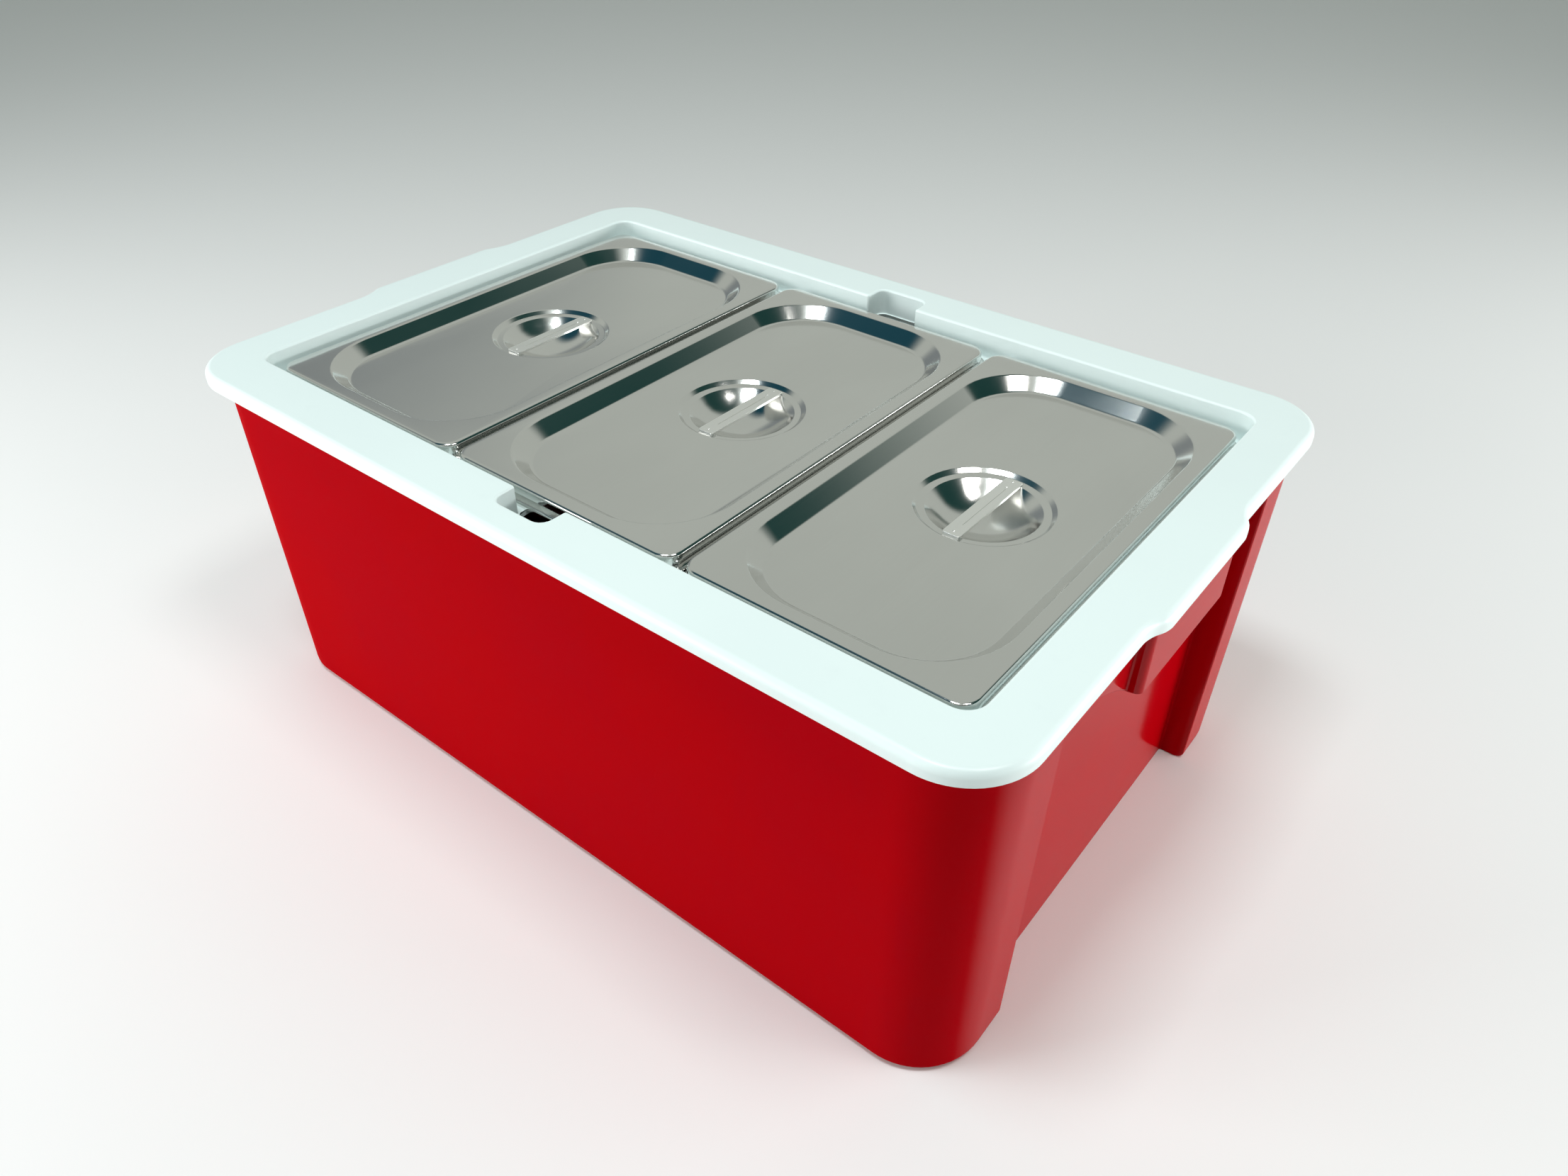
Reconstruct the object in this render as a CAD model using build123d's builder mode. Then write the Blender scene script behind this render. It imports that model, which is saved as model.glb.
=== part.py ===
"""Catering tub: a red moulded tub, a white frame over its rim, and lidded food pans.

The origin is the centre of the face that the tub stands on. +X is along the tub's
long side, +Y along its short side and +Z up. All sizes are in millimetres.
"""
import math
import os

from build123d import *

os.makedirs("parts", exist_ok=True)

# Tub
tub_length = 582.7            # outside, at the foot
tub_width = 385.5
tub_height = 241.5            # to the top of the rim flange
tub_corner = 42.0
tub_foot_round = 6.0
tub_wall = 3.0
tub_floor = 3.5
tub_spread = 3.0              # how far each wall leans out over the height
rim_length = 592.6            # the flange round the mouth
rim_width = 399.6
rim_corner = 46.0
rim_thickness = 3.0

# Hand-holds in the tub's ends
recess_x = 275.0              # outer face of the recessed wall
recess_half = 127.0           # half the distance between the corner posts
recess_round = 10.0
brow_z = 222.0                # lower edge of the skirt beside a post
brow_flat = 114.0             # the edge curves down to the grip inside this
brow_middle = (90.0, 215.0)
grip_half = 54.0
grip_x = 301.5
grip_low_z = 194.0
grip_high_z = 235.4
grip_corner = 5.0
skirt_x = 291.2               # back of the skirt over the recess
hollow_top_z = 232.0

# Stiffening ribs under the rim flange
rib_count = 11
rib_pitch = 50.0
rib_thickness = 2.2
rib_low_z = 229.5
rib_reach = 199.4

# Pan frame
frame_length = 600.8
frame_width = 408.0
frame_corner = 40.0
frame_top_z = 245.0
frame_lip = 9.2               # height of the edge seen from outside
frame_skin = 3.5
frame_edge_round = 4.2
tab_x = 306.4                 # outer face of the tab over each grip
tab_half = 51.0
tab_root_half = 61.0
tab_round = 4.8
window_length = 535.9         # the opening that the pans drop into
window_width = 334.6
window_corner = 12.0
well_wall = 3.0
ledge_top_z = 226.6
ledge_thickness = 3.4
ledge_length = 519.0          # clear opening inside the ledge
ledge_width = 315.0
ledge_corner = 8.0
notch_width = 39.0            # finger notch in each long side
notch_reach = 184.3
notch_corner = 8.0

# Food pans, third size, 325 by 176 over the flange
pan_pitch = 176.7
pan_names = ("left", "middle", "right")
pan_length = 325.0
pan_width = 176.0
pan_corner = 14.0
pan_sheet = 0.8
pan_edge = 3.0                # turned-down edge of the flange
pan_mouth_length = 300.0
pan_mouth_width = 151.0
pan_mouth_corner = 30.0
pan_depth = 100.0
pan_draft = 3.5
pan_foot_round = 12.0

# Lids
lid_length = 318.4
lid_width = 170.5
lid_corner = 11.0
lid_sheet = 0.8
lid_skirt = 8.0
lid_top_z = 237.6
lid_edge_round = 2.4
lid_border = 10.0             # flat border round the sunken panel
lid_panel_corner = 50.0
lid_slope = 9.0               # how far the slope runs in over the depth
lid_panel_depth = 8.5
dish_radius = 40.0            # shallow step round the dish
dish_step = 2.5
bowl_radius = 32.5
bowl_depth = 14.6
step_run = 2.4

# Strap handles
strap_length = 71.0
strap_width = 11.0
strap_thickness = 1.5
strap_corner = 1.5

# Values worked out from the ones above
tub_draft = math.degrees(math.atan(tub_spread / tub_height))
lip_z = frame_top_z - frame_lip
ledge_z = ledge_top_z - ledge_thickness
pan_top_z = ledge_top_z + pan_edge
panel_z = lid_top_z - lid_panel_depth
dish_z = panel_z - dish_step
lid_slope_angle = math.degrees(math.atan(lid_slope / lid_panel_depth))
reach = 60.0                  # how far a cutter runs past what it cuts


with BuildPart() as tub:
    with BuildSketch(Plane.XY):
        RectangleRounded(tub_length, tub_width, tub_corner)
    extrude(amount=tub_height, taper=-tub_draft)
    fillet(tub.edges().group_by(Axis.Z)[0], tub_foot_round)
    with BuildSketch(Plane.XY.offset(tub_height - rim_thickness)):
        RectangleRounded(rim_length, rim_width, rim_corner)
    extrude(amount=rim_thickness)
    with BuildSketch(Plane.XY.offset(tub_floor)):
        RectangleRounded(tub_length - 2 * tub_wall, tub_width - 2 * tub_wall, tub_corner - tub_wall)
    extrude(amount=tub_height, taper=-tub_draft, mode=Mode.SUBTRACT)

    for end in (-1, 1):
        # The recessed wall, as a block that the recess is then cut from.
        with BuildSketch(Plane.XY):
            with Locations((end * (recess_x - tub_wall + skirt_x) / 2, 0)):
                Rectangle(skirt_x - recess_x + tub_wall, 2 * (recess_half + tub_wall))
        extrude(amount=tub_height)
        # The grip, a box that stands out under the frame's tab.
        with BuildSketch(Plane.XY.offset(grip_low_z)):
            with Locations((end * (grip_x + recess_x) / 2, 0)):
                RectangleRounded(grip_x - recess_x, 2 * grip_half, grip_corner)
        extrude(amount=grip_high_z - grip_low_z)
        # The recess between the corner posts, open to the outside.
        with BuildSketch(Plane.YZ.offset(end * recess_x)) as recess:
            with BuildLine():
                Polyline(
                    (-brow_flat, brow_z),
                    (-recess_half, brow_z),
                    (-recess_half, -reach),
                    (recess_half, -reach),
                    (recess_half, brow_z),
                    (brow_flat, brow_z),
                )
                for side in (-1, 1):
                    ThreePointArc(
                        (side * brow_flat, brow_z),
                        (side * brow_middle[0], brow_middle[1]),
                        (side * grip_half, grip_low_z),
                    )
                Line((-grip_half, grip_low_z), (grip_half, grip_low_z))
            make_face()
            fillet(recess.vertices().filter_by_position(Axis.Y, -recess_half, -recess_half)
                   .filter_by_position(Axis.Z, brow_z, brow_z), recess_round)
        extrude(amount=end * reach, mode=Mode.SUBTRACT)
        # The space behind the skirt and inside the grip, where the fingers go.
        with BuildSketch(Plane.XY.offset(hollow_top_z)):
            with Locations((end * (recess_x + skirt_x) / 2, 0)):
                Rectangle(skirt_x - recess_x, 2 * recess_half)
            with Locations((end * (recess_x + grip_x - tub_wall) / 2, 0)):
                Rectangle(grip_x - tub_wall - recess_x, 2 * (grip_half - tub_wall))
        extrude(amount=-(hollow_top_z - brow_z + reach), mode=Mode.SUBTRACT)

    rib_root = tub_width / 2 - tub_wall / 2
    with BuildSketch(Plane.XY.offset(rib_low_z)):
        for side in (-1, 1):
            with Locations((0, side * (rib_reach + rib_root) / 2)):
                with GridLocations(rib_pitch, 0, rib_count, 1):
                    Rectangle(rib_thickness, rib_reach - rib_root)
    extrude(amount=tub_height - rib_low_z)
tub.part.label = "tub"
export_step(tub.part, "parts/tub.step")


with BuildPart() as pan_frame:
    with BuildSketch(Plane.XY.offset(lip_z)) as outline:
        RectangleRounded(frame_length, frame_width, frame_corner)
        for end in (-1, 1):
            with BuildLine():
                Polyline(
                    (end * (frame_length / 2 - frame_corner), -tab_root_half),
                    (end * frame_length / 2, -tab_root_half),
                    (end * tab_x, -tab_half),
                    (end * tab_x, tab_half),
                    (end * frame_length / 2, tab_root_half),
                    (end * (frame_length / 2 - frame_corner), tab_root_half),
                    close=True,
                )
            make_face()
        fillet(outline.vertices().group_by(Axis.X)[0], tab_round)
        fillet(outline.vertices().group_by(Axis.X)[-1], tab_round)
    extrude(amount=frame_lip)
    fillet(pan_frame.faces().sort_by(Axis.Z)[-1].outer_wire().edges(), frame_edge_round)
    # The underside is hollow, all but the walls round the window and the notches.
    with BuildSketch(Plane.XY.offset(lip_z)):
        add(outline.sketch.moved(Location((0, 0, -lip_z))))
        offset(amount=-frame_skin)
        RectangleRounded(
            window_length + 2 * well_wall,
            window_width + 2 * well_wall,
            window_corner + well_wall,
            mode=Mode.SUBTRACT,
        )
        RectangleRounded(
            notch_width + 2 * well_wall,
            2 * (notch_reach + well_wall),
            notch_corner + well_wall,
            mode=Mode.SUBTRACT,
        )
    extrude(amount=frame_lip - frame_skin, mode=Mode.SUBTRACT)
    # The well that hangs down into the tub, with the ledge that the pans rest on.
    with BuildSketch(Plane.XY.offset(ledge_z)):
        RectangleRounded(
            window_length + 2 * well_wall, window_width + 2 * well_wall, window_corner + well_wall
        )
    extrude(amount=frame_top_z - frame_skin - ledge_z)
    with BuildSketch(Plane.XY.offset(ledge_top_z)):
        RectangleRounded(window_length, window_width, window_corner)
    extrude(amount=reach, mode=Mode.SUBTRACT)
    with BuildSketch(Plane.XY.offset(ledge_z)):
        RectangleRounded(ledge_length, ledge_width, ledge_corner)
    extrude(amount=reach, mode=Mode.SUBTRACT)
    with BuildSketch(Plane.XY.offset(ledge_z)):
        RectangleRounded(notch_width, 2 * notch_reach, notch_corner)
    extrude(amount=reach, mode=Mode.SUBTRACT)
pan_frame.part.label = "pan_frame"
export_step(pan_frame.part, "parts/pan_frame.step")


for name, place in zip(pan_names, (-pan_pitch, 0.0, pan_pitch)):
    with BuildPart() as pan:
        with BuildSketch(Plane.XY.offset(pan_top_z - pan_edge)):
            with Locations((place, 0)):
                RectangleRounded(pan_width, pan_length, pan_corner)
        extrude(amount=pan_edge)
        with BuildSketch(Plane.XY.offset(pan_top_z - pan_edge)):
            with Locations((place, 0)):
                RectangleRounded(
                    pan_width - 2 * pan_sheet, pan_length - 2 * pan_sheet, pan_corner - pan_sheet
                )
        extrude(amount=pan_edge - pan_sheet, mode=Mode.SUBTRACT)
        with BuildSketch(Plane.XY.offset(pan_top_z)):
            with Locations((place, 0)):
                RectangleRounded(
                    pan_mouth_width + 2 * pan_sheet,
                    pan_mouth_length + 2 * pan_sheet,
                    pan_mouth_corner + pan_sheet,
                )
        extrude(amount=-pan_depth, taper=pan_draft)
        with BuildSketch(Plane.XY.offset(pan_top_z)):
            with Locations((place, 0)):
                RectangleRounded(pan_mouth_width, pan_mouth_length, pan_mouth_corner)
        extrude(amount=-(pan_depth - pan_sheet), taper=pan_draft, mode=Mode.SUBTRACT)
        fillet(pan.edges().group_by(Axis.Z)[1], pan_foot_round - pan_sheet)
        fillet(pan.edges().group_by(Axis.Z)[0], pan_foot_round)
    pan.part.label = f"pan_{name}"
    export_step(pan.part, f"parts/pan_{name}.step")

    with BuildPart() as lid:
        with BuildSketch(Plane.XY.offset(lid_top_z - lid_skirt)):
            with Locations((place, 0)):
                RectangleRounded(lid_width, lid_length, lid_corner)
        extrude(amount=lid_skirt)
        fillet(lid.edges().group_by(Axis.Z)[-1], lid_edge_round)
        with BuildSketch(Plane.XY.offset(lid_top_z - lid_skirt)):
            with Locations((place, 0)):
                RectangleRounded(
                    lid_width - 2 * lid_sheet, lid_length - 2 * lid_sheet, lid_corner - lid_sheet
                )
        extrude(amount=lid_skirt - lid_sheet, mode=Mode.SUBTRACT)
        # The sunken panel and its dish are made solid here and hollowed from above below.
        with BuildSketch(Plane.XY.offset(lid_top_z - lid_sheet)):
            with Locations((place, 0)):
                RectangleRounded(
                    lid_width - 2 * lid_border + lid_sheet,
                    lid_length - 2 * lid_border + lid_sheet,
                    lid_panel_corner + lid_sheet / 2,
                )
        extrude(amount=-lid_panel_depth, taper=lid_slope_angle)
        with BuildSketch(Plane.XZ):
            with BuildLine():
                Polyline(
                    (place, dish_z - bowl_depth - lid_sheet),
                    (place, panel_z - lid_sheet / 2),
                    (place + dish_radius, panel_z - lid_sheet / 2),
                    (place + dish_radius, panel_z - lid_sheet),
                    (place + dish_radius - step_run, dish_z - lid_sheet),
                    (place + bowl_radius, dish_z - lid_sheet),
                )
                TangentArc(
                    (place, dish_z - bowl_depth - lid_sheet), (place + bowl_radius, dish_z - lid_sheet),
                    tangent=(1, 0),
                )
            make_face()
        revolve(axis=Axis((place, 0, 0), (0, 0, 1)))
        with BuildSketch(Plane.XY.offset(lid_top_z)):
            with Locations((place, 0)):
                RectangleRounded(
                    lid_width - 2 * lid_border, lid_length - 2 * lid_border, lid_panel_corner
                )
        extrude(amount=-lid_panel_depth, taper=lid_slope_angle, mode=Mode.SUBTRACT)
        with BuildSketch(Plane.XZ):
            with BuildLine():
                Polyline(
                    (place, dish_z - bowl_depth),
                    (place, lid_top_z),
                    (place + dish_radius - lid_sheet / 2, lid_top_z),
                    (place + dish_radius - lid_sheet / 2, panel_z),
                    (place + dish_radius - step_run - lid_sheet / 2, dish_z),
                    (place + bowl_radius - lid_sheet / 2, dish_z),
                )
                TangentArc(
                    (place, dish_z - bowl_depth), (place + bowl_radius - lid_sheet / 2, dish_z),
                    tangent=(1, 0),
                )
            make_face()
        revolve(axis=Axis((place, 0, 0), (0, 0, 1)), mode=Mode.SUBTRACT)
    lid.part.label = f"lid_{name}"
    export_step(lid.part, f"parts/lid_{name}.step")

    with BuildPart() as strap:
        with BuildSketch(Plane.XY.offset(dish_z)):
            with Locations((place, 0)):
                RectangleRounded(strap_width, strap_length, strap_corner)
        extrude(amount=strap_thickness)
    strap.part.label = f"strap_{name}"
    export_step(strap.part, f"parts/strap_{name}.step")
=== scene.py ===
"""Catering tub: a red moulded tub, a white frame on its rim and three food pans with lids.

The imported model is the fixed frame, in metres. Each shown piece is modelled here in
millimetres, in that same frame, and rides on the body of the node that it stands for.
"""
import logging
import math
from dataclasses import dataclass, field, replace
from enum import Enum
from typing import Callable, Optional
import bmesh
import bpy
from mathutils import Matrix, Vector


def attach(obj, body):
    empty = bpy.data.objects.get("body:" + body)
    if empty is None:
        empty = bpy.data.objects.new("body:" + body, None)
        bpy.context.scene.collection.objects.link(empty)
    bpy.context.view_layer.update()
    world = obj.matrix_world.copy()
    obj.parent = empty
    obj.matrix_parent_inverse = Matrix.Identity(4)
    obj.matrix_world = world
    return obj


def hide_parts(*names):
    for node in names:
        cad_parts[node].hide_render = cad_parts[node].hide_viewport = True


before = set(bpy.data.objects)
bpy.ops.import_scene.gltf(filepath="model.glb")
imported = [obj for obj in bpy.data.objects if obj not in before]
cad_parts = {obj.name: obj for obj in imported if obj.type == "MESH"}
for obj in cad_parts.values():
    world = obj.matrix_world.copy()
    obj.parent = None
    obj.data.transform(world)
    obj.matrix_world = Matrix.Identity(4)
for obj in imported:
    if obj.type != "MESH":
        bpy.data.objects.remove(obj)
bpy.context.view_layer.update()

LOG = logging.getLogger("catering_tub")
MM = 0.001  # metres in a millimetre
NEAR = 0.01  # millimetres within which two places are one place
DOUBLE = 1e-6  # metres within which two vertices are merged
PAN_PITCH = 176.7  # millimetres from the middle of one pan to that of the next


class Sides(Enum):
    """The pair of sides of an outline that a bay is on."""

    ENDS = 0
    FLANKS = 1


class Join(Enum):
    """How a skin gets from one ring to the next."""

    BRIDGE = "bridge"
    FILL = "fill"


class Ends(Enum):
    """What happens at a skin's first and last rings."""

    CAPPED = "capped"
    CLOSED = "closed"
    OPEN_START = "open_start"


class Bench:
    """The small moves that every piece is modelled with."""

    @staticmethod
    def clear() -> None:
        """Leave edit mode and deselect everything."""
        if bpy.context.mode != "OBJECT":
            bpy.ops.object.mode_set(mode="OBJECT")
        bpy.ops.object.select_all(action="DESELECT")

    @staticmethod
    def take(ob: bpy.types.Object) -> None:
        """Make one object the only selected one, and the active one."""
        Bench.clear()
        ob.select_set(True)
        bpy.context.view_layer.objects.active = ob

    @staticmethod
    def pick(test: Callable[[Vector], bool]) -> None:
        """Select the vertices of the object in edit mode that pass a test.

        Args:
            test: Takes a vertex's place in millimetres.
        """
        mesh = bpy.context.object.data
        move = bpy.context.object.matrix_world
        bm = bmesh.from_edit_mesh(mesh)
        bm.select_mode = {"VERT"}
        for vert in bm.verts:
            vert.select_set(test(move @ vert.co / MM))
        bm.select_flush_mode()
        bmesh.update_edit_mesh(mesh)

    @staticmethod
    def pick_edges(test: Callable[[Vector, Vector], bool]) -> None:
        """Select the edges in edit mode whose two ends pass a test.

        Args:
            test: Takes the places of an edge's two ends in millimetres.
        """
        mesh = bpy.context.object.data
        move = bpy.context.object.matrix_world
        bpy.ops.mesh.select_mode(type="EDGE")
        bm = bmesh.from_edit_mesh(mesh)
        chosen = [edge for edge in bm.edges
                  if test(*(move @ vert.co / MM for vert in edge.verts))]
        for edge in bm.edges:
            edge.select_set(False)
        for edge in chosen:
            edge.select_set(True)
        bmesh.update_edit_mesh(mesh)

    @staticmethod
    def join(base: bpy.types.Object, others: list[bpy.types.Object]) -> bpy.types.Object:
        """Join objects into the first one, one by one, so that vertices keep their order."""
        for other in others:
            Bench.take(base)
            other.select_set(True)
            bpy.ops.object.join()
        return base

    @staticmethod
    def modify(ob: bpy.types.Object, kind: str, **settings: object) -> None:
        """Add a modifier to an object and apply it at once.

        Args:
            ob: The object to change.
            kind: The modifier's type.
            **settings: The modifier's properties.
        """
        Bench.take(ob)
        modifier = ob.modifiers.new(kind.title(), kind)
        for name, value in settings.items():
            setattr(modifier, name, value)
        bpy.ops.object.modifier_apply(modifier=modifier.name)

    @staticmethod
    def carve(ob: bpy.types.Object, tool: bpy.types.Object, operation: str) -> None:
        """Unite an object with a tool or cut the tool from it, then remove the tool."""
        Bench.modify(ob, "BOOLEAN", object=tool, operation=operation, solver="EXACT")
        bpy.data.objects.remove(tool, do_unlink=True)

    @staticmethod
    def block(low: tuple[float, float, float], high: tuple[float, float, float],
              name: str = "block") -> bpy.types.Object:
        """Add a cube at its size and place, from its lowest to its highest corner."""
        Bench.clear()
        middle = [(a + b) / 2 * MM for a, b in zip(low, high)]
        size = [(b - a) * MM for a, b in zip(low, high)]
        bpy.ops.mesh.primitive_cube_add(size=1.0, location=middle, scale=size)
        ob = bpy.context.object
        bpy.ops.object.transform_apply(location=True, rotation=True, scale=True)
        ob.name = name
        return ob

    @staticmethod
    def finish(ob: bpy.types.Object, name: str, angle: float = 32.0) -> bpy.types.Object:
        """Merge doubles, point the faces outwards, shade the piece and name it.

        Args:
            ob: A closed piece.
            name: The piece's name.
            angle: Edges sharper than this many degrees stay sharp.

        Returns:
            The same object.
        """
        Bench.take(ob)
        bpy.ops.object.mode_set(mode="EDIT")
        bpy.ops.mesh.select_all(action="SELECT")
        bpy.ops.mesh.remove_doubles(threshold=DOUBLE)
        bpy.ops.mesh.dissolve_degenerate(threshold=DOUBLE)
        bpy.ops.mesh.select_all(action="SELECT")
        bpy.ops.mesh.normals_make_consistent(inside=False)
        bpy.ops.object.mode_set(mode="OBJECT")
        bpy.ops.object.shade_smooth_by_angle(angle=math.radians(angle))
        Bench.modify(ob, "WEIGHTED_NORMAL", keep_sharp=True, weight=60)
        ob.name = name
        ob.data.name = name
        return ob


@dataclass(frozen=True)
class Bay:
    """A step outwards, or with a negative reach inwards, in the middle of two sides.

    Its half width is half at the tip and root_half at the root, where its corners have
    the radii corner and root_corner.
    """

    sides: Sides
    half: float
    root_half: float
    reach: float
    corner: float
    root_corner: float
    steps: int = 5
    least: float = 0.15

    def grown(self, by: float) -> "Bay":
        """Return the bay as it is after its outline grows by a distance."""
        run, rise = self.root_half - self.half, self.reach
        length = math.hypot(run, rise)
        shift = by * (1.0 - run / length) / (rise / length)
        sign = 1.0 if self.reach > 0 else -1.0
        return replace(
            self, half=self.half + shift, root_half=self.root_half + shift,
            corner=max(self.least, self.corner + sign * by),
            root_corner=max(self.least, self.root_corner - sign * by),
        )


@dataclass(frozen=True)
class Outline:
    """A rounded rectangle, with or without a bay in the middle of two of its sides."""

    length: float
    width: float
    corner: float
    bay: Optional[Bay] = None
    place: float = 0.0
    steps: int = 12
    least: float = 0.2

    def grown(self, by: float) -> "Outline":
        """Return this outline moved outwards by a distance all round."""
        return replace(
            self, length=self.length + 2 * by, width=self.width + 2 * by,
            corner=max(self.least, self.corner + by),
            bay=self.bay.grown(by) if self.bay else None,
        )

    def wire(self, z: float) -> bpy.types.Object:
        """Add the outline as a closed loop of edges at a height."""
        Bench.clear()
        bpy.ops.mesh.primitive_plane_add(size=1.0, location=(self.place * MM, 0.0, z * MM))
        ob = bpy.context.object
        bpy.ops.object.mode_set(mode="EDIT")
        bpy.ops.transform.resize(value=(self.length * MM, self.width * MM, 1.0))
        bpy.ops.mesh.delete(type="ONLY_FACE")
        if self.bay:
            self._add_bay(z)
        self._round(self.length / 2, self.width / 2, self.corner, self.steps)
        if self.bay:
            self._round_bay()
        bpy.ops.object.mode_set(mode="OBJECT")
        bpy.ops.object.transform_apply(location=True, rotation=True, scale=True)
        return ob

    def _add_bay(self, z: float) -> None:
        """Cut the two sides at the bay's ends and move the stretch between them."""
        bay = self.bay
        across = (0.0, 1.0, 0.0) if bay.sides is Sides.ENDS else (1.0, 0.0, 0.0)
        for at in (bay.root_half, bay.half, -bay.half, -bay.root_half):
            bpy.ops.mesh.select_all(action="SELECT")
            point = (self.place * MM + across[0] * at * MM, across[1] * at * MM, z * MM)
            bpy.ops.mesh.bisect(plane_co=point, plane_no=across)
        axis, other = (0, 1) if bay.sides is Sides.ENDS else (1, 0)
        centre = (self.place, 0.0)
        for sign in (-1, 1):
            Bench.pick(lambda p: sign * (p[axis] - centre[axis]) > 1.0
                       and abs(p[other] - centre[other]) < bay.half + NEAR)
            step = [0.0, 0.0, 0.0]
            step[axis] = sign * bay.reach * MM
            bpy.ops.transform.translate(value=step)

    def _round(self, half_x: float, half_y: float, radius: float, steps: int) -> None:
        """Round the four vertices at plus and minus the given halves."""
        Bench.pick(lambda p: abs(abs(p.x - self.place) - half_x) < NEAR
                   and abs(abs(p.y) - half_y) < NEAR)
        bpy.ops.mesh.bevel(offset=radius * MM, segments=steps, profile=0.5,
                           affect="VERTICES", clamp_overlap=False)

    def _round_bay(self) -> None:
        """Round the bay's own corners and the corners at its root."""
        bay = self.bay
        if bay.sides is Sides.ENDS:
            self._round(self.length / 2 + bay.reach, bay.half, bay.corner, bay.steps)
            self._round(self.length / 2, bay.root_half, bay.root_corner, bay.steps)
        else:
            self._round(bay.half, self.width / 2 + bay.reach, bay.corner, bay.steps)
            self._round(bay.root_half, self.width / 2, bay.root_corner, bay.steps)


@dataclass(frozen=True)
class Disc:
    """A circle about a piece's upright axis, with as many points as a plain outline."""

    radius: float
    place: float = 0.0
    steps: int = 12

    def wire(self, z: float) -> bpy.types.Object:
        """Add the circle as a closed loop of edges at a height."""
        Bench.clear()
        bpy.ops.mesh.primitive_circle_add(
            vertices=4 * (self.steps + 1), radius=self.radius * MM,
            location=(self.place * MM, 0.0, z * MM), rotation=(0.0, 0.0, math.pi / 4),
        )
        ob = bpy.context.object
        bpy.ops.object.transform_apply(location=True, rotation=True, scale=True)
        return ob


@dataclass
class Skin:
    """A surface that passes through a row of rings, each an outline at a height."""

    name: str
    rings: list[tuple[object, float]] = field(default_factory=list)
    fills: set[int] = field(default_factory=set)
    spread: float = 100.0

    def ring(self, outline: object, z: float, join: Join = Join.BRIDGE) -> "Skin":
        """Add a ring, and say how the skin gets to it from the one before."""
        if join is Join.FILL:
            self.fills.add(len(self.rings))
        self.rings.append((outline, z))
        return self

    def arc(self, outline: Outline, start: tuple[float, float], end: tuple[float, float],
            bulge: int, steps: int = 4) -> "Skin":
        """Add the rings of a quarter round.

        Args:
            outline: The outline that the offsets count from.
            start: The offset and the height where the round begins; no ring is added there.
            end: The offset and the height where it ends.
            bulge: 0 if it starts off upright, 1 if it starts off level.
            steps: How many rings it gets.

        Returns:
            This skin.
        """
        for number in range(1, steps + 1):
            turn = math.pi / 2 * number / steps
            along, across = math.sin(turn), 1.0 - math.cos(turn)
            if bulge == 0:
                along, across = across, along
            offset = start[0] + (end[0] - start[0]) * along
            z = start[1] + (end[1] - start[1]) * across
            self.ring(outline.grown(offset), z)
        return self

    def build(self, ends: Ends) -> bpy.types.Object:
        """Make the rings and join each to the next.

        The rings stand well apart while they are bridged, because rings of one height
        can be bridged crosswise, and then each goes to its own height.

        Args:
            ends: What to do at the first and the last ring.

        Returns:
            The new object, with its place in its mesh.
        """
        wires = [outline.wire(number * self.spread)
                 for number, (outline, _) in enumerate(self.rings)]
        starts, total = [], 0
        for wire in wires:
            starts.append(total)
            total += len(wire.data.vertices)
        starts.append(total)
        ob = Bench.join(wires[0], wires[1:])
        Bench.take(ob)
        bpy.ops.object.mode_set(mode="EDIT")
        bpy.ops.mesh.select_mode(type="VERT")
        count = len(self.rings)
        pairs = [(i, i + 1) for i in range(count - 1)]
        if ends is Ends.CLOSED:
            pairs.append((count - 1, 0))
        for pair in pairs:
            if pair[1] not in self.fills:
                self._select(starts, pair)
                bpy.ops.mesh.bridge_edge_loops()
        for number, (_, z) in enumerate(self.rings):
            self._select(starts, (number,))
            bpy.ops.transform.translate(value=(0.0, 0.0, (z - number * self.spread) * MM))
        for pair in pairs:
            if pair[1] in self.fills:
                self._select(starts, pair)
                bpy.ops.mesh.fill(use_beauty=True)
        caps = {Ends.CAPPED: (0, count - 1), Ends.CLOSED: (), Ends.OPEN_START: (count - 1,)}
        for cap in caps[ends]:
            self._select(starts, (cap,))
            bpy.ops.mesh.edge_face_add()
        bpy.ops.mesh.select_all(action="SELECT")
        bpy.ops.mesh.remove_doubles(threshold=DOUBLE)
        bpy.ops.mesh.normals_make_consistent(inside=False)
        bpy.ops.object.mode_set(mode="OBJECT")
        ob.name = self.name
        return ob

    @staticmethod
    def _select(starts: list[int], rings: tuple[int, ...]) -> None:
        """Select the vertices of some rings by their numbers."""
        mesh = bpy.context.object.data
        bm = bmesh.from_edit_mesh(mesh)
        bm.select_mode = {"VERT"}
        bm.verts.ensure_lookup_table()
        for vert in bm.verts:
            vert.select_set(False)
        for ring in rings:
            for index in range(starts[ring], starts[ring + 1]):
                bm.verts[index].select_set(True)
        bm.select_flush_mode()
        bmesh.update_edit_mesh(mesh)


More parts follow.
